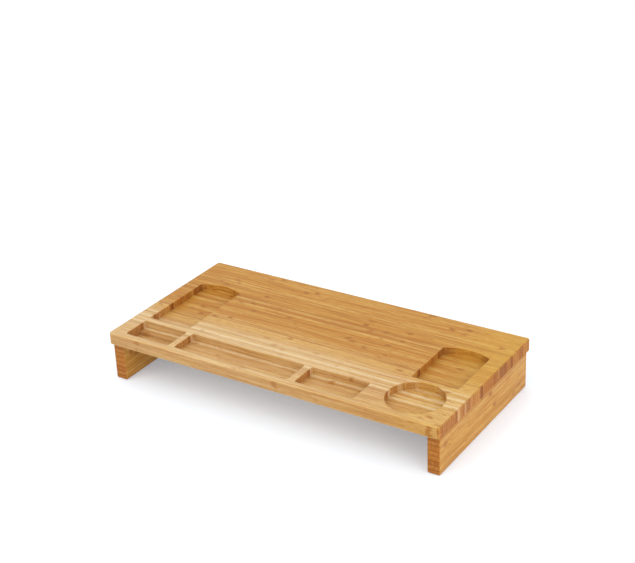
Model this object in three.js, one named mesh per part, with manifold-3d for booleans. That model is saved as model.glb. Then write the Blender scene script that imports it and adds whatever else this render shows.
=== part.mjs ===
// Desktop monitor riser: a laminated bamboo board with hollows routed in its top, carried by two bamboo
// legs. Each leg is located by three dowels, pulled up by two bolts in threaded inserts, and stands on
// two pads. Millimetres. +Z is up, +X is to the user's right, and the user sits at -Y.
// The origin is on the table, under the middle of the board.
import * as THREE from "three";
import { RoundedBoxGeometry } from "three/addons/geometries/RoundedBoxGeometry.js";
import { mergeVertices } from "three/addons/utils/BufferGeometryUtils.js";
import Module from "manifold-3d";

const wasm = await Module();
wasm.setup();

// ---- driving dimensions ----

const HEIGHT = 85; // table to the top of the board
const BOARD = { length: 600, depth: 302, thick: 21, corner: 5, edge: 2 };
const LEG = { thick: 20.5, depth: 290, inset: 3, edge: 1.5 };
const PAD = { radius: 7, thick: 2, proud: 0.8, chamfer: 0.4, y: 128 };
const DOWEL = { radius: 4, length: 30, inBoard: 10, chamfer: 0.8, y: 125 };
const BOLT = { radius: 3, length: 50, headRadius: 5, headHeight: 6, chamfer: 0.5, y: 95 };
const SOCKET = { flats: 5, depth: 3 }; // for the hexagonal key
const WASHER = { radius: 6, thick: 1.6 };
const INSERT = { radius: 5, length: 12 };
const SHOULDER = 26; // height of the step in the leg that the washer pulls against

const CLEARANCE = 0.15; // on the radius, between a round piece and its hole
const PASSAGE = 0.3; // likewise, where the bolt and its washer go up through the leg
const SPARE_DEPTH = 1; // between a dowel or an insert and the closed end of its hole
const OVERRUN = 1; // how far a cutting tool runs past the face that it enters
const MERGE = 1e-4;

// Facets of the round shapes: right round a turned piece or the cup hollow, along one arc of an outline,
// and across one rounded edge.
const ROUND_SEGMENTS = 24;
const CUP_SEGMENTS = 64;
const BOW_SEGMENTS = 12;
const CORNER_SEGMENTS = 4;
const BOARD_EDGE_SEGMENTS = 3;
const LEG_EDGE_SEGMENTS = 2;

// Hollows in the top of the board.
const RIM = 12; // wood left in front of the front row
const TRAY_DEPTH = 12;
const SLOT_DEPTH = 17.5;
const POCKET_CORNER = 3;
const FRONT_ROW = { y0: -BOARD.depth / 2 + RIM, y1: -89 };
const PHONE_X = { x0: -272.5, x1: -188.5 };
const SLOT_REAR = -106;

const TRAYS = [
  { ...PHONE_X, ...FRONT_ROW, deep: TRAY_DEPTH }, // ledge behind the phone slot
  { ...PHONE_X, ...FRONT_ROW, y1: SLOT_REAR, deep: SLOT_DEPTH }, // phone slot
  { x0: -176.5, x1: 36, ...FRONT_ROW, deep: TRAY_DEPTH }, // pens
  { x0: 49.5, x1: 151.5, ...FRONT_ROW, deep: TRAY_DEPTH }, // paper clips
  { x0: -273, x1: -193, y0: -77, y1: 64, deep: TRAY_DEPTH, rise: 11 }, // stapler, with a bowed rear wall
  { x0: 195, x1: 273.5, y0: -42.5, y1: 60.5, deep: TRAY_DEPTH, rise: 10.5 }, // notes, bowed likewise
];
const CUP = { x: 230, y: -94, radius: 45, deep: TRAY_DEPTH };

// ---- materials ----

function finish(color, roughness, metalness) {
  return new THREE.MeshStandardMaterial({ color, roughness, metalness });
}

const MATERIALS = {
  board: () => finish(0xd9a25f, 0.42, 0),
  leg: () => finish(0xcf9350, 0.45, 0),
  dowel: () => finish(0xdcc096, 0.7, 0),
  steel: () => finish(0xb9bcc0, 0.32, 1),
  insert: () => finish(0xc8a955, 0.38, 1),
  rubber: () => finish(0x2b2b2d, 0.85, 0),
};

// ---- shape helpers ----

// A closed geometry as a solid that can be joined and cut.
function toSolid(geometry) {
  const bare = geometry.clone();
  bare.deleteAttribute("normal");
  bare.deleteAttribute("uv");
  const merged = mergeVertices(bare, MERGE);
  const corners = merged.index.array;
  const faces = [];
  for (let i = 0; i < corners.length; i += 3) {
    const face = [corners[i], corners[i + 1], corners[i + 2]];
    if (new Set(face).size === 3) faces.push(...face);
  }
  const vertProperties = Float32Array.from(merged.attributes.position.array);
  const triVerts = Uint32Array.from(faces);
  return new wasm.Manifold(new wasm.Mesh({ numProp: 3, vertProperties, triVerts }));
}

function toGeometry(solid) {
  const cut = solid.getMesh();
  const geometry = new THREE.BufferGeometry();
  geometry.setAttribute("position", new THREE.BufferAttribute(cut.vertProperties, 3));
  geometry.setIndex(new THREE.BufferAttribute(cut.triVerts, 1));
  return geometry;
}

function cutAway(geometry, tools) {
  let solid = toSolid(geometry);
  for (const tool of tools) solid = solid.subtract(toSolid(tool));
  return toGeometry(solid);
}

// A rectangle with round corners. With a rise, its rear side is one arc that bows out by that much.
function roundedRectangle({ x0, x1, y0, y1, rise = 0 }, corner) {
  const shape = new THREE.Shape();
  shape.moveTo(x0, y0 + corner);
  shape.absarc(x0 + corner, y0 + corner, corner, Math.PI, 1.5 * Math.PI);
  shape.absarc(x1 - corner, y0 + corner, corner, 1.5 * Math.PI, 2 * Math.PI);
  if (rise > 0) {
    const half = (x1 - x0) / 2;
    const radius = (half * half + rise * rise) / (2 * rise);
    const reach = Math.asin(half / radius);
    shape.absarc(x0 + half, y1 + rise - radius, radius, Math.PI / 2 - reach, Math.PI / 2 + reach);
  } else {
    shape.absarc(x1 - corner, y1 - corner, corner, 0, 0.5 * Math.PI);
    shape.absarc(x0 + corner, y1 - corner, corner, 0.5 * Math.PI, Math.PI);
  }
  shape.closePath();
  return shape;
}

function disc(x, y, radius) {
  const shape = new THREE.Shape();
  shape.absarc(x, y, radius, 0, 2 * Math.PI);
  return shape;
}

// An outline carried straight up from z0 to z1.
function prism(shape, z0, z1, curveSegments) {
  const depth = z1 - z0;
  const geometry = new THREE.ExtrudeGeometry(shape, { depth, bevelEnabled: false, curveSegments });
  return geometry.translate(0, 0, z0);
}

const boreTool = (x, y, radius, z0, z1) => prism(disc(x, y, radius), z0, z1, ROUND_SEGMENTS / 2);

// A turned piece on the Z axis, from its [radius, height] outline.
function turned(outline) {
  const points = outline.map(([radius, height]) => new THREE.Vector2(radius, height));
  return new THREE.LatheGeometry(points, ROUND_SEGMENTS).rotateX(Math.PI / 2);
}

// ---- places worked out from the dimensions ----

const UNDERSIDE = HEIGHT - BOARD.thick;
const LEG_X = BOARD.length / 2 - LEG.inset - LEG.thick / 2;
const WASHER_BOTTOM = SHOULDER - WASHER.thick;
const DOWEL_ROW = [-DOWEL.y, 0, DOWEL.y];
const BOLT_ROW = [-BOLT.y, BOLT.y];
const PAD_ROW = [-PAD.y, PAD.y];

// ---- pieces ----

// The board, with the hollows in its top and a blind hole below for each dowel and insert.
function topBoard() {
  const { length, depth, thick, corner, edge } = BOARD;
  const sides = { x0: -length / 2, x1: length / 2, y0: -depth / 2, y1: depth / 2 };
  const slab = new THREE.ExtrudeGeometry(roundedRectangle(sides, corner), {
    depth: thick - 2 * edge,
    bevelThickness: edge,
    bevelSize: edge,
    bevelOffset: -edge,
    bevelSegments: BOARD_EDGE_SEGMENTS,
    curveSegments: CORNER_SEGMENTS,
  }).translate(0, 0, UNDERSIDE + edge);
  const tools = TRAYS.map((tray) => {
    const segments = tray.rise ? BOW_SEGMENTS : CORNER_SEGMENTS;
    return prism(roundedRectangle(tray, POCKET_CORNER), HEIGHT - tray.deep, HEIGHT + OVERRUN, segments);
  });
  tools.push(prism(disc(CUP.x, CUP.y, CUP.radius), HEIGHT - CUP.deep, HEIGHT + OVERRUN, CUP_SEGMENTS / 2));
  for (const x of [-LEG_X, LEG_X]) {
    for (const y of DOWEL_ROW) {
      const closedEnd = UNDERSIDE + DOWEL.inBoard + SPARE_DEPTH;
      tools.push(boreTool(x, y, DOWEL.radius + CLEARANCE, UNDERSIDE - OVERRUN, closedEnd));
    }
    for (const y of BOLT_ROW) {
      const closedEnd = UNDERSIDE + INSERT.length + SPARE_DEPTH;
      tools.push(boreTool(x, y, INSERT.radius + CLEARANCE, UNDERSIDE - OVERRUN, closedEnd));
    }
  }
  return cutAway(slab, tools);
}

// One leg about its own centre line, at x = 0: dowel holes in the top, stepped bolt holes right through,
// and a shallow seat for each pad.
function leg() {
  const height = UNDERSIDE - PAD.proud;
  const block = new RoundedBoxGeometry(LEG.thick, LEG.depth, height, LEG_EDGE_SEGMENTS, LEG.edge);
  block.translate(0, 0, PAD.proud + height / 2);
  const tools = [];
  for (const y of DOWEL_ROW) {
    const bottom = UNDERSIDE + DOWEL.inBoard - DOWEL.length;
    tools.push(boreTool(0, y, DOWEL.radius + CLEARANCE, bottom, UNDERSIDE + OVERRUN));
  }
  for (const y of BOLT_ROW) {
    tools.push(boreTool(0, y, BOLT.radius + PASSAGE, -OVERRUN, UNDERSIDE + OVERRUN));
    tools.push(boreTool(0, y, WASHER.radius + PASSAGE, -OVERRUN, SHOULDER));
  }
  for (const y of PAD_ROW) {
    tools.push(boreTool(0, y, PAD.radius + CLEARANCE, -OVERRUN, PAD.thick));
  }
  return cutAway(block, tools);
}

function dowel() {
  const { radius, length, inBoard, chamfer } = DOWEL;
  const bottom = UNDERSIDE + inBoard - length;
  const top = bottom + length;
  return turned([
    [0, bottom],
    [radius - chamfer, bottom],
    [radius, bottom + chamfer],
    [radius, top - chamfer],
    [radius - chamfer, top],
    [0, top],
  ]);
}

// Socket-head bolt, head down, with a hexagonal socket for its key.
function bolt() {
  const { radius, length, headRadius, headHeight, chamfer } = BOLT;
  const headBottom = WASHER_BOTTOM - headHeight;
  const tip = WASHER_BOTTOM + length;
  const body = turned([
    [0, headBottom],
    [headRadius - chamfer, headBottom],
    [headRadius, headBottom + chamfer],
    [headRadius, WASHER_BOTTOM],
    [radius, WASHER_BOTTOM],
    [radius, tip - chamfer],
    [radius - chamfer, tip],
    [0, tip],
  ]);
  const hexagon = new THREE.Shape();
  const cornerRadius = SOCKET.flats / Math.sqrt(3);
  for (let i = 0; i < 6; i += 1) {
    const turn = (i * Math.PI) / 3;
    hexagon.lineTo(cornerRadius * Math.cos(turn), cornerRadius * Math.sin(turn));
  }
  return cutAway(body, [prism(hexagon, headBottom - OVERRUN, headBottom + SOCKET.depth, 1)]);
}

function tube(outerRadius, innerRadius, bottom, top) {
  return turned([
    [innerRadius, bottom],
    [outerRadius, bottom],
    [outerRadius, top],
    [innerRadius, top],
    [innerRadius, bottom],
  ]);
}

const washer = () => tube(WASHER.radius, BOLT.radius + CLEARANCE, WASHER_BOTTOM, SHOULDER);
const insert = () => tube(INSERT.radius, BOLT.radius + CLEARANCE, UNDERSIDE, UNDERSIDE + INSERT.length);

function footPad() {
  const { radius, thick, chamfer } = PAD;
  return turned([
    [0, 0],
    [radius - chamfer, 0],
    [radius, chamfer],
    [radius, thick],
    [0, thick],
  ]);
}

// ---- assembly ----

const riser = new THREE.Group();

function add(name, geometry, material, x = 0, y = 0) {
  const piece = new THREE.Mesh(geometry, MATERIALS[material]());
  piece.name = name;
  piece.position.set(x, y, 0);
  riser.add(piece);
}

add("top_board", topBoard(), "board");
for (const [side, x] of [["left", -LEG_X], ["right", LEG_X]]) {
  add(`leg_${side}`, leg(), "leg", x);
  for (const [place, y] of [["front", -DOWEL.y], ["middle", 0], ["rear", DOWEL.y]]) {
    add(`dowel_${side}_${place}`, dowel(), "dowel", x, y);
  }
  for (const [place, sign] of [["front", -1], ["rear", 1]]) {
    add(`bolt_${side}_${place}`, bolt(), "steel", x, sign * BOLT.y);
    add(`washer_${side}_${place}`, washer(), "steel", x, sign * BOLT.y);
    add(`insert_${side}_${place}`, insert(), "insert", x, sign * BOLT.y);
    add(`foot_pad_${side}_${place}`, footPad(), "rubber", x, sign * PAD.y);
  }
}

export default riser;
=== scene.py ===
"""Bamboo monitor riser: the finished pieces and their materials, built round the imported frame.

Metres. +X is to the user's right, +Y to the rear, +Z up, and the origin is on the table under the
middle of the board. Every piece stands exactly where its node of the frame stands.
"""

import math

import bmesh
import bpy
from bpy.props import FloatProperty, FloatVectorProperty, IntProperty, PointerProperty
from mathutils import Matrix, Vector


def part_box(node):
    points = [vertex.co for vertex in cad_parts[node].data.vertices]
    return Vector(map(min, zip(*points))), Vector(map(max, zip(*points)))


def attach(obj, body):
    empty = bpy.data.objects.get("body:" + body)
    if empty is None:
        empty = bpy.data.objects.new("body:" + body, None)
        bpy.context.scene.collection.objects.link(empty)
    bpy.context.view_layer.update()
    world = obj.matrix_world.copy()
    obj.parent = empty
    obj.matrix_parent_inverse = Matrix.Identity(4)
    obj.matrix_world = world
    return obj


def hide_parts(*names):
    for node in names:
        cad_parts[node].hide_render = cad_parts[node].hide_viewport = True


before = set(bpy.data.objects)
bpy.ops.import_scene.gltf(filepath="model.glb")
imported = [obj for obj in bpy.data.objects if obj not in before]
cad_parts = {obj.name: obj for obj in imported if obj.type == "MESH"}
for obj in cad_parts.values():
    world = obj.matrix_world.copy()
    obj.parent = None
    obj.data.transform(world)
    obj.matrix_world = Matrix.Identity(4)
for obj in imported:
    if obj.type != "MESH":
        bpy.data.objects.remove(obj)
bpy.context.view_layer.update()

bl_info = {
    "name": "Bamboo Monitor Riser",
    "version": (1, 0, 0),
    "blender": (4, 5, 0),
    "location": "View3D > Sidebar > Riser",
    "description": "Builds a bamboo monitor riser with its fasteners, its finishes and a plain studio",
    "category": "Object",
}

MM = 0.001
BOARD_LOW, BOARD_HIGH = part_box("top_board")

# Places that the names of the nodes end in. Each leg has three dowels, and two of everything else.
SIDES = ("left", "right")
ENDS = ("front", "rear")
DOWEL_PLACES = ("front", "middle", "rear")

# Hollows in the top of the board, in millimetres: left, right, front, rear, depth and how far the rear bows.
FRONT_ROW = (-139.0, -89.0)
TRAY_DEPTH = 12.0
HOLLOWS = {
    "phone_ledge": (-272.5, -188.5, *FRONT_ROW, TRAY_DEPTH, 0.0),
    "pen_tray": (-176.5, 36.0, *FRONT_ROW, TRAY_DEPTH, 0.0),
    "clip_tray": (49.5, 151.5, *FRONT_ROW, TRAY_DEPTH, 0.0),
    "stapler_pocket": (-273.0, -193.0, -77.0, 64.0, TRAY_DEPTH, 11.0),
    "note_pocket": (195.0, 273.5, -42.5, 60.5, TRAY_DEPTH, 10.5),
}
SLOT_REAR = -106.0
SLOT_DEPTH = 17.5
CUP = (230.0, -94.0, 45.0)

# Radii of the holes in the wood, each a little wider than the piece that goes in.
DOWEL_HOLE = 4.15 * MM
INSERT_HOLE = 5.15 * MM
WASHER_HOLE = 6.3 * MM
BOLT_HOLE = 3.3 * MM
PAD_SEAT = 7.15 * MM

# The two softboxes: where they stand and how wide they are, in metres.
KEY_BOX = ((-0.6, -1.6, 1.9), 2.0)
SIDE_BOX = ((2.2, -0.7, 1.0), 1.6)


# ---- settings that a user would change ----


def metres(name, description, default):
    """A length in metres, shown in the scene's unit."""
    return FloatProperty(
        name=name, description=description, default=default, min=0.0, subtype="DISTANCE", unit="LENGTH"
    )


def share(name, description, default):
    """A number from nought to one."""
    return FloatProperty(
        name=name, description=description, default=default, min=0.0, max=1.0, subtype="FACTOR"
    )


def colour(name, description, default):
    """A linear colour."""
    return FloatVectorProperty(
        name=name, description=description, default=default, min=0.0, max=1.0, size=3, subtype="COLOR"
    )


def tilt(name, description, degrees):
    """An angle, given in degrees."""
    return FloatProperty(name=name, description=description, default=math.radians(degrees), subtype="ANGLE")


def power(name, description, default, unit="POWER"):
    """The strength of a light, in watts unless it is a bare number."""
    return FloatProperty(name=name, description=description, default=default, min=0.0, unit=unit)


class RiserShapeSettings(bpy.types.PropertyGroup):
    """Roundings and small sizes of the wooden pieces and the fasteners."""

    board_corner: metres("Board corner", "Radius of the board's four upright corners", 5.5 * MM)
    board_edge: metres("Board edge", "Radius of the board's long edges", 2.4 * MM)
    rim: metres("Hollow rim", "Rounding where a hollow meets the top", 0.9 * MM)
    hollow_corner: metres("Hollow corner", "Radius of the cutter that made the hollows", 3.0 * MM)
    hollow_foot: metres("Hollow foot", "Small radius between a hollow's wall and floor", 0.5 * MM)
    leg_edge: metres("Leg edge", "Radius of the legs' edges", 1.8 * MM)
    bolt_pitch: metres("Bolt pitch", "Pitch of the bolts' thread", 1.0 * MM)
    insert_pitch: metres("Insert pitch", "Pitch of the inserts' outer thread", 2.4 * MM)
    flutes: IntProperty(name="Dowel flutes", description="Grooves round a dowel", default=20, min=6, max=40)


class RiserFinishSettings(bpy.types.PropertyGroup):
    """Colours and gloss of the finishes."""

    pale: colour("Pale strip", "Lightest bamboo strips", (0.62, 0.372, 0.098))
    honey: colour("Honey strip", "Usual bamboo strips", (0.54, 0.262, 0.043))
    gold: colour("Gold", "Yellower tone of the board's right end", (0.62, 0.36, 0.055))
    amber: colour("Amber strip", "Deeper bamboo strips", (0.42, 0.160, 0.022))
    brown: colour("Brown strip", "Darkest strips, glue lines and knuckles", (0.22, 0.060, 0.008))
    cream: colour("Cream strip", "The one almost white strip", (0.75, 0.58, 0.33))
    end_grain: colour("End grain", "Tint of the cut ends of the strips", (0.86, 0.68, 0.57))
    board_strip: metres("Board strip", "Usual width of a glued strip of the board", 7.45 * MM)
    leg_strip: metres("Leg strip", "Usual width of a glued strip of a leg", 8.2 * MM)
    knuckle_step: metres("Knuckle spacing", "Usual length between a strip's knuckles", 290.0 * MM)
    lacquer: share("Lacquer", "Weight of the clear coat on the wood", 0.04)
    gloss: share("Gloss", "Specular level of the wood", 0.14)
    wood_roughness: share("Wood roughness", "Roughness of the lacquered wood", 0.42)
    zinc: colour("Zinc plate", "Bolts and washers", (0.70, 0.71, 0.73))
    zinc_dull: colour("Dull zinc", "Patches where the plate has lost its shine", (0.56, 0.56, 0.55))
    brass: colour("Brass", "Threaded inserts", (0.78, 0.58, 0.27))
    brass_dull: colour("Dull brass", "Patches of tarnish on the brass", (0.58, 0.40, 0.18))
    rubber: colour("Rubber", "Foot pads", (0.022, 0.022, 0.024))
    dust: colour("Dust", "Dust on the rubber", (0.10, 0.095, 0.09))
    beech: colour("Beech", "Dowels", (0.66, 0.47, 0.28))
    beech_dark: colour("Dark beech", "Darker grain of the beech", (0.45, 0.28, 0.14))
    beech_fleck: colour("Beech fleck", "Short dark flecks of the beech", (0.30, 0.16, 0.08))


class RiserStageSettings(bpy.types.PropertyGroup):
    """Floor, light and camera."""

    floor_tone: colour("Floor", "Plain pale floor", (0.86, 0.85, 0.84))
    glow_tone: colour("Glow colour", "Cool light that cancels the warm light off the wood", (0.45, 0.72, 1.0))
    floor_glow: share("Floor glow", "Light that the floor gives of itself, as a light table does", 0.25)
    sky: power("Surround", "Strength of the even light all round", 1.0, "NONE")
    key: power("Key light", "Softbox above and in front", 18.0)
    side: power("Side light", "Softbox at the right", 18.0)
    lens: FloatProperty(name="Lens", description="Focal length", default=79.7, min=1.0, unit="CAMERA")
    azimuth: tilt("Azimuth", "View round the object", 33.37)
    elevation: tilt("Elevation", "View above the horizon", 25.85)
    roll: tilt("Roll", "Tilt of the camera about its own axis", -2.39)


# ---- mesh work ----


def arc(centre, radius, start, stop, steps):
    """Points on a circle from one angle to another, both ends included."""
    angles = [start + (stop - start) * i / steps for i in range(steps + 1)]
    return [(centre[0] + radius * math.cos(a), centre[1] + radius * math.sin(a)) for a in angles]


def round_rectangle(left, right, front, rear, corner, bow=None, steps=6, bow_steps=32):
    """A rectangle with round corners, anticlockwise.

    With a bow, (radius, y of its centre), the rear side is one arc that bulges back.
    """
    quarter = math.pi / 2
    points = arc((left + corner, front + corner), corner, 2 * quarter, 3 * quarter, steps)
    points += arc((right - corner, front + corner), corner, 3 * quarter, 4 * quarter, steps)
    if bow:
        half = (right - left) / 2
        radius, centre_y = bow
        reach = math.asin(half / radius)
        points += arc((left + half, centre_y), radius, quarter - reach, quarter + reach, bow_steps)
    else:
        points += arc((right - corner, rear - corner), corner, 0, quarter, steps)
        points += arc((left + corner, rear - corner), corner, quarter, 2 * quarter, steps)
    return points


def level(points, height):
    """A flat outline as a ring of points at one height."""
    return [(x, y, height) for x, y in points]


def ring(centre, radius, height, count=48):
    """A level circle. The radius may be a function of the angle."""
    points = []
    for i in range(count):
        angle = 2 * math.pi * i / count
        reach = radius(angle) if callable(radius) else radius
        points.append((centre[0] + reach * math.cos(angle), centre[1] + reach * math.sin(angle), height))
    return points


def loft(name, rings, closed=False):
    """A mesh object through rings of equal count, capped at both ends, or closed on itself."""
    mesh = bpy.data.meshes.new(name)
    work = bmesh.new()
    rows = [[work.verts.new(point) for point in points] for points in rings]
    pairs = list(zip(rows, rows[1:]))
    if closed:
        pairs.append((rows[-1], rows[0]))
    for lower, upper in pairs:
        for i, corner in enumerate(lower):
            after = (i + 1) % len(lower)
            work.faces.new((corner, lower[after], upper[after], upper[i]))
    if not closed:
        work.faces.new(rows[0][::-1])
        work.faces.new(rows[-1])
    bmesh.ops.recalc_face_normals(work, faces=work.faces)
    work.to_mesh(mesh)
    work.free()
    piece = bpy.data.objects.new(name, mesh)
    bpy.context.scene.collection.objects.link(piece)
    return piece


def quarter_round(radius, steps, start=0.0, stop=90.0):
    """(inwards, upwards) offsets along a rounded edge, from its upright side to its flat one."""
    turns = [math.radians(start + (stop - start) * i / steps) for i in range(steps + 1)]
    return [(radius * (1 - math.cos(t)), radius * math.sin(t)) for t in turns]


def block(name, outline_at, low, high, edge, steps=6):
    """A slab with all its edges rounded. outline_at(d) gives its outline drawn in by d."""
    rounding = quarter_round(edge, steps)
    rings = [level(outline_at(inwards), low + edge - up) for inwards, up in reversed(rounding)]
    rings += [level(outline_at(inwards), high - edge + up) for inwards, up in rounding]
    return loft(name, rings)


def hollow_cutter(name, outline_at, floor, top, rim, foot):
    """What is cut away for a hollow: a small radius at the floor, and a flare that rounds the rim over.

    outline_at(d) gives the hollow's outline grown by d.
    """
    rounding = quarter_round(foot, 3)
    rings = [level(outline_at(-inwards), floor + foot - up) for inwards, up in reversed(rounding)]
    rings += [level(outline_at(outwards), top - rim + up) for outwards, up in rim_flare(rim)]
    return loft(name, rings)


def rim_flare(rim):
    """(outwards, upwards) offsets round a rim: nearly a quarter circle, then straight on past the top."""
    stop = 75.0
    flare = quarter_round(rim, 3, stop=stop)
    outwards, up = flare[-1]
    run = rim * 1.5
    return flare + [(outwards + run, up + run * math.tan(math.radians(90.0 - stop)))]


def bore_cutter(name, centre, radius, bottom, top, mouth, count=48):
    """What is cut away for a round hole, with a broken edge at its mouth, which is "top" or "bottom"."""
    chamfer = 0.3 * MM
    over = 1.0 * MM
    if mouth == "top":
        heights = [(radius, bottom), (radius, top - chamfer), (radius + chamfer + over, top + over)]
    else:
        heights = [(radius + chamfer + over, bottom - over), (radius, bottom + chamfer), (radius, top)]
    return loft(name, [ring(centre, reach, height, count) for reach, height in heights])


def carve(piece, cutters):
    """Cuts the cutters out of a piece, one after another, and removes them."""
    for cutter in cutters:
        step = piece.modifiers.new(cutter.name, "BOOLEAN")
        step.operation = "DIFFERENCE"
        step.solver = "EXACT"
        step.object = cutter
    graph = bpy.context.evaluated_depsgraph_get()
    cut = bpy.data.meshes.new_from_object(piece.evaluated_get(graph))
    piece.modifiers.clear()
    before = piece.data
    piece.data = cut
    bpy.data.meshes.remove(before)
    for cutter in cutters:
        mesh = cutter.data
        bpy.data.objects.remove(cutter)
        bpy.data.meshes.remove(mesh)


def smooth(piece, sharp_from=40.0):
    """Smooth shading, with creases only where faces meet at a steep angle."""
    mesh = piece.data
    mesh.shade_smooth()
    mesh.set_sharp_from_angle(angle=math.radians(sharp_from))
    weighted = piece.modifiers.new("weighted_normals", "WEIGHTED_NORMAL")
    weighted.keep_sharp = True


def fit(piece, node, material):
    """Gives a finished piece its material, and its place as the stand-in for its node."""
    piece.data.materials.clear()
    piece.data.materials.append(material)
    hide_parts(node)
    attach(piece, "root")


def middle(node):
    """Centre line of an upright round node, and its lowest and highest points."""
    low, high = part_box(node)
    return ((low.x + high.x) / 2, (low.y + high.y) / 2), low.z, high.z


# ---- shader work ----


class Value:
    """A socket that varies over a surface. An expression on values adds its Math nodes."""

    def __init__(self, graph, socket):
        self.graph = graph
        self.socket = socket

    def also(self, output):
        """Another output of the same node."""
        return Value(self.graph, self.socket.node.outputs[output])

    def __add__(self, other):
        return self.graph.math("ADD", self, other)

    def __sub__(self, other):
        return self.graph.math("SUBTRACT", self, other)

    def __rsub__(self, other):
        return self.graph.math("SUBTRACT", other, self)

    def __mul__(self, other):
        return self.graph.math("MULTIPLY", self, other)

    def __truediv__(self, other):
        return self.graph.math("DIVIDE", self, other)

    def __rtruediv__(self, other):
        return self.graph.math("DIVIDE", other, self)

    def __abs__(self):
        return self.graph.math("ABSOLUTE", self)

    __radd__ = __add__
    __rmul__ = __mul__


class Finish:
    """One material and the nodes that make it."""

    def __init__(self, name):
        self.material = bpy.data.materials.new(name)
        self.material.use_nodes = True
        self.tree = self.material.node_tree
        self.tree.nodes.clear()

    def node(self, kind, settings=None, inputs=None, output=0):
        """Any node: its settings are set first, then its sockets, each to a number, a colour or a value."""
        made = self.tree.nodes.new(kind)
        for key, setting in (settings or {}).items():
            if key == "stops":
                self.set_stops(made.color_ramp, setting)
            else:
                setattr(made, key, setting)
        for key, given in (inputs or {}).items():
            socket = made.inputs[key]
            if isinstance(given, Value):
                self.tree.links.new(given.socket, socket)
            elif socket.type == "RGBA":
                socket.default_value = (*given, 1.0)
            else:
                socket.default_value = given
        return Value(self, made.outputs[output]) if made.outputs else None

    @staticmethod
    def set_stops(ramp, stops):
        """Colour stops of a ramp, as (position, colour)."""
        while len(ramp.elements) < len(stops):
            ramp.elements.new(1.0)
        for element, (position, tone) in zip(ramp.elements, stops):
            element.position = position
            element.color = (*tone, 1.0)

    def math(self, operation, first, second=0.0):
        return self.node("ShaderNodeMath", {"operation": operation}, {0: first, 1: second})

    def step(self, value, low, high):
        """A smooth rise from nought at low to one at high. With high below low it falls instead."""
        if high < low:
            return 1 - self.step(value, high, low)
        return self.node(
            "ShaderNodeMapRange",
            {"interpolation_type": "SMOOTHSTEP"},
            {"Value": value, "From Min": low, "From Max": high, "To Min": 0.0, "To Max": 1.0},
        )

    def band(self, value, low, high, soft):
        """One between low and high, with soft sides."""
        return self.step(value, low - soft, low + soft) * self.step(value, high + soft, high - soft)

    def mix(self, first, second, factor, blend="MIX"):
        """Two colours mixed by a factor."""
        settings = {"data_type": "RGBA", "blend_type": blend}
        return self.node("ShaderNodeMix", settings, {0: factor, 6: first, 7: second}, output=2)

    def scaled(self, tone, amount):
        """A colour made lighter or darker by a factor."""
        return self.node("ShaderNodeVectorMath", {"operation": "SCALE"}, {0: tone, "Scale": amount})

    def vector(self, x, y, z):
        return self.node("ShaderNodeCombineXYZ", None, {0: x, 1: y, 2: z})

    def place(self):
        """Position on the object in millimetres, as three values."""
        here = self.node("ShaderNodeTexCoord", output="Object")
        apart = self.node("ShaderNodeSeparateXYZ", None, {0: here})
        return [apart.also(axis) * 1000.0 for axis in "XYZ"]

    def facing(self):
        """The surface's direction, as three values."""
        facing = self.node("ShaderNodeTexCoord", output="Normal")
        apart = self.node("ShaderNodeSeparateXYZ", None, {0: facing})
        return [apart.also(axis) for axis in "XYZ"]

    def noise(self, vector, detail=2.0, roughness=0.5):
        """Soft noise, about half on average."""
        inputs = {"Vector": vector, "Scale": 1.0, "Detail": detail, "Roughness": roughness}
        return self.node("ShaderNodeTexNoise", None, inputs)

    def bump(self, height, distance):
        """A normal from a height between nought and one, and the depth that one stands for, in metres."""
        return self.node("ShaderNodeBump", None, {"Height": height, "Distance": distance})

    def surface(self, **sockets):
        """The shader itself. Its sockets are named with underscores for spaces."""
        inputs = {name.replace("_", " "): given for name, given in sockets.items()}
        shader = self.node("ShaderNodeBsdfPrincipled", None, inputs)
        self.node("ShaderNodeOutputMaterial", None, {"Surface": shader})
        return self.material


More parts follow.
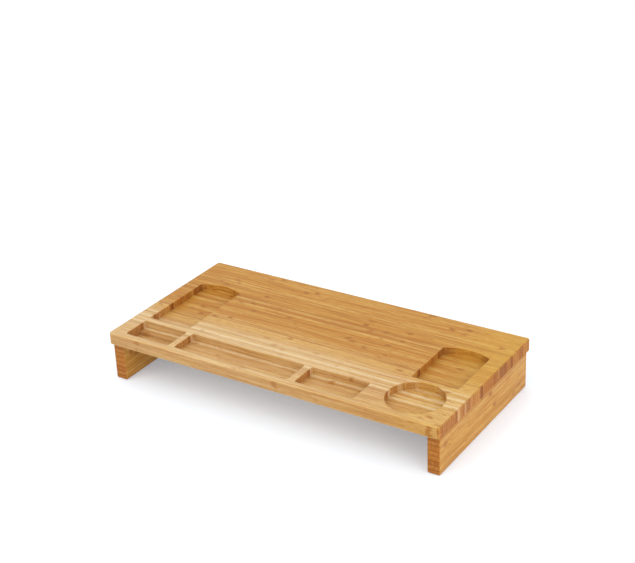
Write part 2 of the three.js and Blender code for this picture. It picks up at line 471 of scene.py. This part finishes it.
class Bamboo(Finish):
    """Laminated bamboo. Strips run along one axis and are glued side by side across another (0, 1 or 2)."""

    def __init__(self, name, settings, along, across, width, seed):
        """width is the usual width of a strip in millimetres, and seed shifts the strips."""
        super().__init__(name)
        self.settings = settings
        here = self.place()
        self.run, self.side, self.depth = here[along], here[across], here[3 - along - across]
        self.normal = self.facing()
        self.end = self.step(abs(self.normal[along]), 0.12, 0.55)
        self.lay_strips(width, seed)
        self.grow_fibres()
        self.mark_knuckles()

    def lay_strips(self, width, seed):
        """Each strip is one cell, with three random numbers of its own and a glue line at its edge."""
        where = {"W": self.side / width + seed, "Scale": 1.0, "Randomness": 0.35}
        cells = {"voronoi_dimensions": "1D", "feature": "F1"}
        own_colour = self.node("ShaderNodeTexVoronoi", cells, where, "Color")
        self.luck_tone = self.node("ShaderNodeSeparateColor", None, {0: own_colour})
        self.luck_place = self.luck_tone.also(1)
        self.luck_grain = self.luck_tone.also(2)
        self.own_run = self.run + self.luck_place * 977.0
        edges = {"voronoi_dimensions": "1D", "feature": "DISTANCE_TO_EDGE"}
        self.glue = self.node("ShaderNodeTexVoronoi", edges, where)
        self.glue_line = self.step(self.glue, 0.075, 0.02)

    def streaks(self, along, across, through, **texture):
        """Noise drawn out along the strips, and broken at every glue line."""
        place = self.vector(self.own_run * along, self.side * across, self.depth * through)
        return self.noise(place, **texture)

    def grow_fibres(self):
        """Fibres at four scales."""
        self.broad = self.streaks(0.011, 0.32, 0.32)
        self.streak = self.streaks(0.012, 0.6, 0.6)
        self.dash = self.streaks(0.07, 0.8, 0.8, detail=1.0)
        self.fine = self.streaks(0.07, 4.0, 4.0, roughness=0.6)

    def mark_knuckles(self):
        """Knuckles: a short smudge across part of the strip, with a thin broken line through it."""
        spacing = self.settings.knuckle_step / MM
        wander = self.streaks(0.06, 0.25, 0.12, detail=1.0)
        count = self.run / spacing * (self.luck_grain * 0.35 + 0.82) + self.luck_place * 7.3
        offset = (self.math("FRACT", count) - 0.5) * spacing
        self.smudge = self.step(abs(offset + wander * 8.0 - 4.0), 9.0, 1.5) * self.step(wander, 0.38, 0.56)
        self.knuckle = self.step(abs(offset) + self.fine * 1.2, 1.7, 0.8) * self.step(self.dash, 0.44, 0.60)

    def strip_tone(self):
        """A colour for each strip, which drifts along it."""
        tones = self.settings
        stops = (
            (0.00, tones.amber),
            (0.26, tones.honey),
            (0.50, tones.honey),
            (0.80, tones.pale),
            (1.00, tones.amber),
        )
        tone = self.node("ShaderNodeValToRGB", {"stops": stops}, {0: self.luck_tone})
        tone = self.mix(tones.honey, tone, 0.8)
        tone = self.mix(tone, tones.amber, self.step(self.broad, 0.47, 0.64) * 0.75)
        return self.mix(tone, tones.pale, self.step(self.broad, 0.47, 0.34) * 0.60)

    def pale_front_and_sheen(self, none, full):
        """How pale the top is, partly paler strips and partly a painted sheen: nothing at none and most at
        full, less to the right, less on faces that are not upward, and less in hollows, as painted shade.
        """
        # painted sheen: upward faces get the most of it, upright faces less
        upper = self.step(self.normal[2], 0.2, 0.9) * 0.3 + 0.7
        # painted shade: the floors of the hollows, below the top, get less of the pale sheen
        shade_in_hollows = self.step(self.normal[2], 0.5, 0.9) * self.step(self.depth, 84.0, 76.0)
        pale_front_and_sheen = self.step(self.side, none, full) * (self.step(self.run, 260.0, 0.0) * 0.5 + 0.5)
        return pale_front_and_sheen * upper * (1 - self.end * 0.4) * (1 - shade_in_hollows * 0.4)

    def accented(self, tone, accents):
        """Single strips that stand out, as (low, high, colour, strength on sides, strength on cut ends)."""
        for low, high, accent, on_side, on_end in accents:
            strength = self.end * (on_end - on_side) + on_side
            tone = self.mix(tone, accent, self.band(self.side, low, high, 0.6) * strength)
        return tone

    def marked(self, tone, marks):
        """The fibres, knuckles and glue lines, where marks is how plain the amber and brown ones are."""
        amber, brown = self.settings.amber, self.settings.brown
        fibres = self.step(self.streak * 0.6 + self.fine * 0.4, 0.57, 0.70)
        tone = self.mix(tone, amber, marks * self.step(self.dash, 0.54, 0.67) * 0.75)
        tone = self.mix(tone, brown, fibres * 0.26)
        tone = self.mix(tone, amber, marks * self.smudge * 0.85)
        tone = self.mix(tone, brown, marks * (self.smudge * 0.30 + self.knuckle * 0.28))
        return self.mix(tone, brown, self.glue_line * self.step(self.luck_grain, 0.3, 1.0) * 0.34)

    def cut_tone(self, tone, cut_depth, cut_glue):
        """Cut ends: darker and redder, with the dots of the fibre bundles and plain glue lines."""
        brown = self.settings.brown
        section = self.vector(self.side * 1.1, self.depth * 1.1, 0.0)
        bundles = {"voronoi_dimensions": "2D", "feature": "F1"}
        where = {"Vector": section, "Scale": 1.0, "Randomness": 0.9}
        dots = self.step(self.node("ShaderNodeTexVoronoi", bundles, where), 0.34, 0.12)
        darkness = dots * (self.luck_grain * 0.6 + 0.4) * 0.16 + self.step(self.luck_place, 0.2, 1.0) * 0.40
        cut = self.mix(tone, self.settings.end_grain, 1.0, "MULTIPLY")
        cut = self.mix(cut, brown, darkness + cut_depth)
        return self.mix(cut, brown, self.step(self.glue, 0.16, 0.03) * cut_glue)

    def edge_highlight_and_unevenness(self, tone):
        """Painted highlight on the rounded edges, which are made a little paler, and a last light unevenness
        over everything.
        """
        x, y, z = (abs(part) for part in self.normal)
        flattest = self.math("MAXIMUM", self.math("MAXIMUM", x, y), z)
        # painted highlight: rounded edges, where the normal leans between the axes, are mixed towards pale
        tone = self.mix(tone, self.settings.pale, self.step(flattest, 0.99, 0.80) * 0.25)
        return self.scaled(tone, self.fine * 0.14 + self.streak * 0.34 + 0.70)

    def lacquered(self, tone):
        """The finished wood under its thin satin lacquer."""
        settings = self.settings
        rough = settings.wood_roughness + self.streak * 0.12 - 0.06 + self.end * 0.14 + self.glue_line * 0.1
        height = self.fine * 0.5 + self.streak * 0.5 - self.glue_line * 0.8 - self.knuckle * 0.35
        return self.surface(
            Base_Color=tone,
            Roughness=rough,
            Specular_IOR_Level=settings.gloss,
            Coat_Weight=(1 - self.end * 0.6) * settings.lacquer,
            Coat_Roughness=0.24,
            Normal=self.bump(height, 0.00006),
        )


def beech(settings):
    """Bare turned beech: fine straight grain with short dark flecks."""
    finish = Finish("beech")
    x, y, z = finish.place()
    grain = finish.noise(finish.vector(x * 1.6, y * 1.6, z * 0.12), detail=3.0)
    flecks = finish.step(finish.noise(finish.vector(x * 3.0, y * 3.0, z * 0.6), detail=1.0), 0.60, 0.70)
    body = finish.mix(settings.beech, settings.beech_dark, finish.step(grain, 0.42, 0.68) * 0.5)
    body = finish.mix(body, settings.beech_fleck, flecks * 0.45)
    return finish.surface(
        Base_Color=body,
        Roughness=grain * 0.2 + 0.55,
        Normal=finish.bump(grain - flecks * 0.5, 0.00008),
    )


def metal(name, tone, dull, roughness):
    """Plated or turned metal, with fine turning marks and a little dullness."""
    finish = Finish(name)
    x, y, z = finish.place()
    cloud = finish.noise(finish.vector(x * 0.35, y * 0.35, z * 0.35), detail=3.0)
    turning = finish.noise(finish.vector(x * 0.2, y * 0.2, z * 9.0), detail=2.0)
    body = finish.mix(tone, dull, finish.step(cloud, 0.45, 0.75) * 0.6)
    return finish.surface(
        Base_Color=body,
        Metallic=1.0,
        Roughness=cloud * 0.22 + turning * 0.10 + (roughness - 0.16),
        Normal=finish.bump(turning, 0.00002),
    )


def rubber(settings):
    """Matt moulded rubber with a fine skin and a little dust."""
    finish = Finish("pad_rubber")
    x, y, z = finish.place()
    skin = finish.noise(finish.vector(x * 4.0, y * 4.0, z * 4.0), detail=3.0)
    dust = finish.step(finish.noise(finish.vector(x * 0.5, y * 0.5, z * 0.5), detail=2.0), 0.5, 0.75)
    return finish.surface(
        Base_Color=finish.mix(settings.rubber, settings.dust, dust * 0.5),
        Roughness=skin * 0.2 + 0.7,
        Normal=finish.bump(skin, 0.00004),
    )


def board_bamboo(settings):
    """The board: strips along X, paler towards the front, partly with a painted sheen, with a few strips that
    stand out.
    """
    wood = Bamboo("board_bamboo", settings, along=0, across=1, width=settings.board_strip / MM, seed=12.0)
    brown, cream, pale, amber = settings.brown, settings.cream, settings.pale, settings.amber
    accents = (
        (-142.5, -140.0, brown, 0.22, 0.50),
        (-133.0, -123.0, brown, 0.06, 0.26),
        (-104.0, -96.5, brown, 0.16, 0.46),
        (-95.5, -90.0, cream, 0.70, 0.95),
        (-85.0, -82.0, cream, 0.50, 0.20),
        (-74.0, -67.5, cream, 0.70, 0.60),
        (-67.0, -64.5, brown, 0.10, 0.50),
        (-58.0, -52.0, cream, 0.40, 0.20),
        (-43.0, -28.0, pale, 0.35, 0.40),
        (-24.5, -22.6, brown, 0.45, 0.20),
        (-22.0, -15.0, brown, 0.10, 0.85),
        (-14.0, 28.0, amber, 0.20, 0.35),
        (41.0, 68.0, brown, 0.06, 0.55),
        (80.0, 87.0, brown, 0.20, 0.80),
    )
    in_hollows = 0.6
    golden = wood.step(wood.run, 170.0, 295.0) * (0.6 - wood.end * 0.5)
    # paler front strips and a painted sheen over the front left of the top
    pale_front_and_sheen = wood.pale_front_and_sheen(10.0, -80.0)
    sheen_cream_share = pale_front_and_sheen * (wood.step(wood.streak, 0.36, 0.64) * 0.5 + 0.5) * 0.66
    body = wood.mix(wood.strip_tone(), settings.gold, golden)
    body = wood.mix(body, cream, sheen_cream_share)
    # the marks are plainer under the painted sheen
    body = wood.marked(wood.accented(body, accents), 1 - pale_front_and_sheen * 0.7)
    outermost = wood.step(abs(wood.run), 286.0, 292.0)
    cut = wood.cut_tone(body, cut_depth=0.02, cut_glue=0.45)
    body = wood.mix(body, cut, wood.end * (outermost * (1 - in_hollows) + in_hollows))
    return wood.lacquered(wood.edge_highlight_and_unevenness(body))


def leg_bamboo(settings):
    """The legs: strips along Y, stacked up Z, with browner cut ends that show every glue line."""
    wood = Bamboo("leg_bamboo", settings, along=1, across=2, width=settings.leg_strip / MM, seed=30.76)
    accents = (
        (59.5, 64.0, settings.brown, 0.12, 0.22),
        (28.0, 31.0, settings.pale, 0.40, 0.10),
        (2.0, 10.0, settings.amber, 0.30, 0.10),
    )
    body = wood.marked(wood.accented(wood.strip_tone(), accents), 1.0)
    body = wood.mix(body, wood.cut_tone(body, cut_depth=0.16, cut_glue=0.85), wood.end)
    return wood.lacquered(wood.edge_highlight_and_unevenness(body))


# ---- wooden pieces and fasteners ----


def outline_of_hollow(name, shape):
    """The outline of a named hollow, as a function of how far it is grown."""
    left, right, front, rear, _, bow = (size * MM for size in HOLLOWS[name])
    bow_radius = (((right - left) / 2) ** 2 + bow**2) / (2 * bow) if bow else 0.0

    def outline(grown):
        rear_arc = (bow_radius + grown, rear + bow - bow_radius) if bow else None
        corner = shape.hollow_corner + grown
        return round_rectangle(left - grown, right + grown, front - grown, rear + grown, corner, rear_arc)

    return outline


def cut_hollows(shape):
    """Cutters for every hollow in the top of the board."""
    top = BOARD_HIGH.z
    cutters = []
    for name, (*_, deep, _) in HOLLOWS.items():
        outline = outline_of_hollow(name, shape)
        cutters.append(hollow_cutter(name, outline, top - deep * MM, top, shape.rim, shape.hollow_foot))

    def cup(grown):
        x, y, radius = (size * MM for size in CUP)
        return [(px, py) for px, py, _ in ring((x, y), radius + grown, 0.0, 120)]

    cutters.append(hollow_cutter("cup_recess", cup, top - TRAY_DEPTH * MM, top, shape.rim, shape.hollow_foot))
    return cutters


def phone_slot_cutter(shape):
    """The deeper slot in front of the phone's ledge: rounded over at its rear edge, flush with the walls."""
    left, right, front, _, deep, _ = HOLLOWS["phone_ledge"]
    flush = 0.01 * MM
    ledge = BOARD_HIGH.z - deep * MM
    floor = BOARD_HIGH.z - SLOT_DEPTH * MM
    x0, x1 = left * MM + flush, right * MM - flush
    y0, y1 = front * MM + flush, SLOT_REAR * MM

    def outline(grown, rear_grown):
        corner = shape.hollow_corner - flush + grown
        points = arc((x0 - grown + corner, y0 - grown + corner), corner, math.pi, 1.5 * math.pi, 6)
        points += arc((x1 + grown - corner, y0 - grown + corner), corner, 1.5 * math.pi, 2 * math.pi, 6)
        return points + [(x1 + grown, y1 + rear_grown), (x0 - grown, y1 + rear_grown)]

    foot = shape.hollow_foot
    rings = [level(outline(-d, -d), floor + foot - up) for d, up in reversed(quarter_round(foot, 3))]
    rings += [level(outline(0.0, outwards), ledge - shape.rim + up) for outwards, up in rim_flare(shape.rim)]
    return loft("phone_slot", rings)


def make_board(settings, shape):
    """The top board, with its hollows and the blind holes in its underside."""
    low, high = BOARD_LOW, BOARD_HIGH

    def outline(inwards):
        corner = shape.board_corner - inwards
        return round_rectangle(low.x + inwards, high.x - inwards, low.y + inwards, high.y - inwards, corner)

    board = block("riser_top_board", outline, low.z, high.z, shape.board_edge)
    cutters = cut_hollows(shape)
    cutters.append(phone_slot_cutter(shape))
    for side in SIDES:
        for place in DOWEL_PLACES:
            centre, _, top = middle(f"dowel_{side}_{place}")
            hole = f"dowel_hole_{side}_{place}"
            cutters.append(bore_cutter(hole, centre, DOWEL_HOLE, low.z, top + MM, "bottom"))
        for place in ENDS:
            centre, _, top = middle(f"insert_{side}_{place}")
            hole = f"insert_hole_{side}_{place}"
            cutters.append(bore_cutter(hole, centre, INSERT_HOLE, low.z, top + MM, "bottom"))
    carve(board, cutters)
    smooth(board)
    fit(board, "top_board", board_bamboo(settings))


def make_leg(side, shape, material):
    """One leg, with its dowel holes, stepped bolt holes and seats for the pads."""
    low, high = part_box(f"leg_{side}")

    def outline(inwards):
        corner = shape.leg_edge - inwards * 0.98
        return round_rectangle(low.x + inwards, high.x - inwards, low.y + inwards, high.y - inwards, corner)

    leg = block(f"riser_leg_{side}", outline, low.z, high.z, shape.leg_edge)
    cutters = []
    for place in DOWEL_PLACES:
        centre, bottom, _ = middle(f"dowel_{side}_{place}")
        cutters.append(bore_cutter(f"dowel_hole_{place}", centre, DOWEL_HOLE, bottom, high.z, "top"))
    for place in ENDS:
        centre, _, shoulder = middle(f"washer_{side}_{place}")
        cutters.append(bore_cutter(f"counterbore_{place}", centre, WASHER_HOLE, low.z, shoulder, "bottom"))
        cutters.append(bore_cutter(f"bolt_hole_{place}", centre, BOLT_HOLE, shoulder - MM, high.z, "top"))
        centre, _, top = middle(f"foot_pad_{side}_{place}")
        cutters.append(bore_cutter(f"pad_seat_{place}", centre, PAD_SEAT, low.z, top, "bottom"))
    carve(leg, cutters)
    smooth(leg)
    fit(leg, f"leg_{side}", material)


def make_dowel(side, place, shape, material):
    """A fluted dowel with tapered ends."""
    node = f"dowel_{side}_{place}"
    centre, bottom, top = middle(node)
    radius = 4.0 * MM
    taper = 1.2 * MM
    groove = 0.28 * MM

    def fluted(turn):
        return radius - groove * (0.5 - 0.5 * math.cos(shape.flutes * turn)) ** 2

    nose = [(radius - 0.9 * MM, bottom), (radius - 0.35 * MM, bottom + 0.45 * MM), (fluted, bottom + taper)]
    outline = nose + [(reach, top + bottom - height) for reach, height in reversed(nose)]
    dowel = loft(f"riser_{node}", rings_of(centre, outline, shape.flutes * 8))
    smooth(dowel, 50)
    fit(dowel, node, material)


def rings_of(centre, outline, count):
    """Rings through an outline of (radius, height) points, each radius a number or a function."""
    return [ring(centre, reach, height, count) for reach, height in outline]


def thread(centre, root, crest, pitch, bottom, top, count=32, steps=8):
    """Rings of a screw thread that fades in and out at its ends."""
    rows = max(2, round((top - bottom) / pitch * steps))
    rings = []
    for i in range(rows + 1):
        height = bottom + (top - bottom) * i / rows
        fade = min(1.0, i / steps, (rows - i) / steps)

        def reach(angle, height=height, fade=fade):
            phase = ((height - bottom) / pitch - angle / (2 * math.pi)) % 1.0
            ridge = max(0.0, 1.0 - abs(phase - 0.5) * 2.6)
            return root + (crest - root) * min(1.0, ridge * 1.35) * fade

        rings.append(ring(centre, reach, height, count))
    return rings


def hexagon(flats):
    """Reach of a hexagon at an angle, from its width across flats."""
    sixth = math.pi / 3
    return lambda angle: flats / 2 / math.cos((angle % sixth) - sixth / 2)


def make_bolt(side, place, shape, material):
    """A socket-head bolt, head down: knurled head, hexagonal socket, plain shank and rolled thread."""
    node = f"bolt_{side}_{place}"
    centre, bottom, tip = middle(node)
    head, under_head = 5.0 * MM, bottom + 6.0 * MM
    shank, root = 2.98 * MM, 2.42 * MM
    socket, socket_floor = hexagon(5.0 * MM), bottom + 3.0 * MM
    thread_start = tip - 26 * MM
    count = 48

    def knurled(turn):
        return head - 0.14 * MM * abs(math.sin(turn * count / 4))

    outline = [
        (0.6 * MM, socket_floor + 0.9 * MM),
        (socket, socket_floor),
        (socket, bottom + 0.35 * MM),
        (3.1 * MM, bottom),
        (head - 0.6 * MM, bottom),
        (head - 0.15 * MM, bottom + 0.45 * MM),
        (knurled, bottom + 0.9 * MM),
        (knurled, under_head - 0.8 * MM),
        (head - 0.1 * MM, under_head - 0.4 * MM),
        (head - 0.3 * MM, under_head),
        (shank + 0.35 * MM, under_head),
        (shank, under_head + 0.35 * MM),
        (shank, thread_start - 0.6 * MM),
    ]
    rings = rings_of(centre, outline, count)
    rings += thread(centre, root, shank, shape.bolt_pitch, thread_start, tip - 0.7 * MM, count)
    rings.append(ring(centre, root - 0.35 * MM, tip, count))
    bolt = loft(f"riser_{node}", rings)
    smooth(bolt, 35)
    fit(bolt, node, material)


def make_washer(side, place, material):
    """A stamped washer: one edge rolled over, the other sharp."""
    node = f"washer_{side}_{place}"
    centre, bottom, top = middle(node)
    outer, inner = 6.0 * MM, 3.2 * MM
    soft, crisp = 0.35 * MM, 0.1 * MM
    outline = [(inner + crisp, bottom), (outer - crisp, bottom), (outer, bottom + crisp)]
    outline += [(outer - inwards, top - soft + up) for inwards, up in quarter_round(soft, 4)]
    outline += [(inner + inwards, top - soft + up) for inwards, up in reversed(quarter_round(soft, 4))]
    outline.append((inner, bottom + crisp))
    washer = loft(f"riser_{node}", rings_of(centre, outline, 64), closed=True)
    smooth(washer, 35)
    fit(washer, node, material)


def make_insert(side, place, shape, material):
    """A threaded insert: coarse cutting thread outside, fine thread in the bore, and a rim at its mouth."""
    node = f"insert_{side}_{place}"
    centre, bottom, top = middle(node)
    outer, root = 4.98 * MM, 4.15 * MM
    bore, bore_root = 3.08 * MM, 3.5 * MM
    mouth = bore + 0.5 * MM
    count = 48
    rim = [
        (mouth, bottom),
        (outer - 0.25 * MM, bottom),
        (outer - 0.05 * MM, bottom + 0.2 * MM),
        (outer - 0.05 * MM, bottom + 0.9 * MM),
    ]
    rings = rings_of(centre, rim, count)
    rings += thread(centre, root, outer, shape.insert_pitch, bottom + 1.3 * MM, top - 0.6 * MM, count, 12)
    rings += rings_of(centre, [(root - 0.3 * MM, top), (mouth, top)], count)
    inside = thread(centre, bore_root, bore, shape.bolt_pitch, bottom + 0.5 * MM, top - 0.5 * MM, count)
    rings += reversed(inside)
    insert = loft(f"riser_{node}", rings, closed=True)
    smooth(insert, 35)
    fit(insert, node, material)


def make_pad(side, place, material):
    """A moulded foot pad, with two shallow rings in its sole."""
    node = f"foot_pad_{side}_{place}"
    centre, bottom, top = middle(node)
    radius = 7.0 * MM
    edge = 0.6 * MM
    groove = 0.3 * MM
    outline = [(1.2 * MM, bottom)]
    for inner, outer in ((2.2 * MM, 3.4 * MM), (4.6 * MM, 5.8 * MM)):
        outline += [(inner, bottom), (inner + groove, bottom + groove)]
        outline += [(outer - groove, bottom + groove), (outer, bottom)]
    outline += [(radius - inwards, bottom + edge - up) for inwards, up in reversed(quarter_round(edge, 5))]
    outline += [(radius, top - 0.15 * MM), (radius - 0.15 * MM, top)]
    pad = loft(f"riser_{node}", rings_of(centre, outline, 72))
    smooth(pad, 50)
    fit(pad, node, material)


# ---- floor, light and camera ----


def make_floor(stage):
    """A wide plain floor at the height that the riser stands on."""
    reach = 6.0
    corners = [(-reach, -reach, 0.0), (reach, -reach, 0.0), (reach, reach, 0.0), (-reach, reach, 0.0)]
    mesh = bpy.data.meshes.new("floor")
    mesh.from_pydata(corners, [], [(0, 1, 2, 3)])
    floor = bpy.data.objects.new("floor", mesh)
    bpy.context.scene.collection.objects.link(floor)
    finish = Finish("floor_paint")
    paint = finish.surface(
        Base_Color=tuple(stage.floor_tone),
        Roughness=0.7,
        Emission_Color=tuple(stage.glow_tone),
        Emission_Strength=stage.floor_glow,
    )
    mesh.materials.append(paint)


def make_softbox(name, place, size, watts):
    """A square soft light that faces the middle of the board."""
    data = bpy.data.lights.new(name, "AREA")
    data.shape = "SQUARE"
    data.size = size
    data.energy = watts
    light = bpy.data.objects.new(name, data)
    light.location = place
    light.rotation_euler = (Vector((0, 0, BOARD_HIGH.z)) - Vector(place)).to_track_quat("-Z", "Y").to_euler()
    bpy.context.scene.collection.objects.link(light)


def make_surround(stage):
    """Even white light from all round."""
    world = bpy.data.worlds.new("studio")
    world.use_nodes = True
    backdrop = world.node_tree.nodes["Background"]
    backdrop.inputs["Color"].default_value = (1.0, 1.0, 1.0, 1.0)
    backdrop.inputs["Strength"].default_value = stage.sky
    bpy.context.scene.world = world


def make_camera(stage):
    """The camera: a long lens from the front right, above the board."""
    aim = Vector((-0.1505, 0.2389, 0.0425))
    distance = 2.496
    turn, rise = stage.azimuth, stage.elevation
    back = Vector((math.sin(turn) * math.cos(rise), -math.cos(turn) * math.cos(rise), math.sin(rise)))
    right = Vector((math.cos(turn), math.sin(turn), 0.0))
    upright = Matrix((right, back.cross(right), back)).transposed()
    data = bpy.data.cameras.new("camera")
    data.lens = stage.lens
    data.sensor_width = 36.0
    data.clip_start, data.clip_end = 0.05, 50.0
    camera = bpy.data.objects.new("camera", data)
    camera.matrix_world = (
        Matrix.Translation(aim + back * distance) @ (upright @ Matrix.Rotation(stage.roll, 3, "Z")).to_4x4()
    )
    bpy.context.scene.collection.objects.link(camera)
    bpy.context.scene.camera = camera


# ---- operators ----


class RISER_OT_top_board(bpy.types.Operator):
    """Build the bamboo top board with its hollows"""

    bl_idname = "riser.top_board"
    bl_label = "Top Board"

    def execute(self, context):
        make_board(context.scene.riser_finish, context.scene.riser_shape)
        return {"FINISHED"}


class RISER_OT_legs(bpy.types.Operator):
    """Build the two bamboo legs with their bored holes"""

    bl_idname = "riser.legs"
    bl_label = "Legs"

    def execute(self, context):
        material = leg_bamboo(context.scene.riser_finish)
        for side in SIDES:
            make_leg(side, context.scene.riser_shape, material)
        return {"FINISHED"}


class RISER_OT_dowels(bpy.types.Operator):
    """Build the fluted dowels, three to a leg"""

    bl_idname = "riser.dowels"
    bl_label = "Dowels"

    def execute(self, context):
        material = beech(context.scene.riser_finish)
        for side in SIDES:
            for place in DOWEL_PLACES:
                make_dowel(side, place, context.scene.riser_shape, material)
        return {"FINISHED"}


class RISER_OT_fasteners(bpy.types.Operator):
    """Build the bolts, their washers and the threaded inserts, two of each to a leg"""

    bl_idname = "riser.fasteners"
    bl_label = "Bolts, Washers and Inserts"

    def execute(self, context):
        finish = context.scene.riser_finish
        shape = context.scene.riser_shape
        zinc = metal("zinc_steel", finish.zinc, finish.zinc_dull, 0.32)
        brass = metal("insert_brass", finish.brass, finish.brass_dull, 0.38)
        for side in SIDES:
            for place in ENDS:
                make_bolt(side, place, shape, zinc)
                make_washer(side, place, zinc)
                make_insert(side, place, shape, brass)
        return {"FINISHED"}


class RISER_OT_foot_pads(bpy.types.Operator):
    """Build the rubber pads under the legs"""

    bl_idname = "riser.foot_pads"
    bl_label = "Foot Pads"

    def execute(self, context):
        material = rubber(context.scene.riser_finish)
        for side in SIDES:
            for place in ENDS:
                make_pad(side, place, material)
        return {"FINISHED"}


class RISER_OT_stage(bpy.types.Operator):
    """Set out the floor, the soft lights and the camera"""

    bl_idname = "riser.stage"
    bl_label = "Floor, Lights and Camera"

    def execute(self, context):
        stage = context.scene.riser_stage
        make_camera(stage)
        make_floor(stage)
        make_surround(stage)
        make_softbox("key_light", *KEY_BOX, stage.key)
        make_softbox("side_light", *SIDE_BOX, stage.side)
        context.scene.view_settings.view_transform = "Standard"
        return {"FINISHED"}


class RISER_PT_panel(bpy.types.Panel):
    """The riser's pieces and stage, in the order in which they are built"""

    bl_label = "Monitor Riser"
    bl_idname = "RISER_PT_panel"
    bl_space_type = "VIEW_3D"
    bl_region_type = "UI"
    bl_category = "Riser"

    def draw(self, context):
        for operator in OPERATORS:
            self.layout.operator(operator.bl_idname)
        for group in GROUPS:
            settings = getattr(context.scene, group)
            box = self.layout.box()
            for name in settings.__annotations__:
                box.prop(settings, name)


OPERATORS = (
    RISER_OT_stage,
    RISER_OT_top_board,
    RISER_OT_legs,
    RISER_OT_dowels,
    RISER_OT_fasteners,
    RISER_OT_foot_pads,
)
GROUPS = {
    "riser_shape": RiserShapeSettings,
    "riser_finish": RiserFinishSettings,
    "riser_stage": RiserStageSettings,
}
CLASSES = (*GROUPS.values(), *OPERATORS, RISER_PT_panel)


def register():
    for cls in CLASSES:
        bpy.utils.register_class(cls)
    for name, group in GROUPS.items():
        setattr(bpy.types.Scene, name, PointerProperty(type=group))


def unregister():
    for name in GROUPS:
        delattr(bpy.types.Scene, name)
    for cls in reversed(CLASSES):
        bpy.utils.unregister_class(cls)


def main():
    """Registers the add-on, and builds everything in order."""
    register()
    bpy.ops.riser.stage()
    bpy.ops.riser.top_board()
    bpy.ops.riser.legs()
    bpy.ops.riser.dowels()
    bpy.ops.riser.fasteners()
    bpy.ops.riser.foot_pads()


if __name__ == "__main__":
    main()
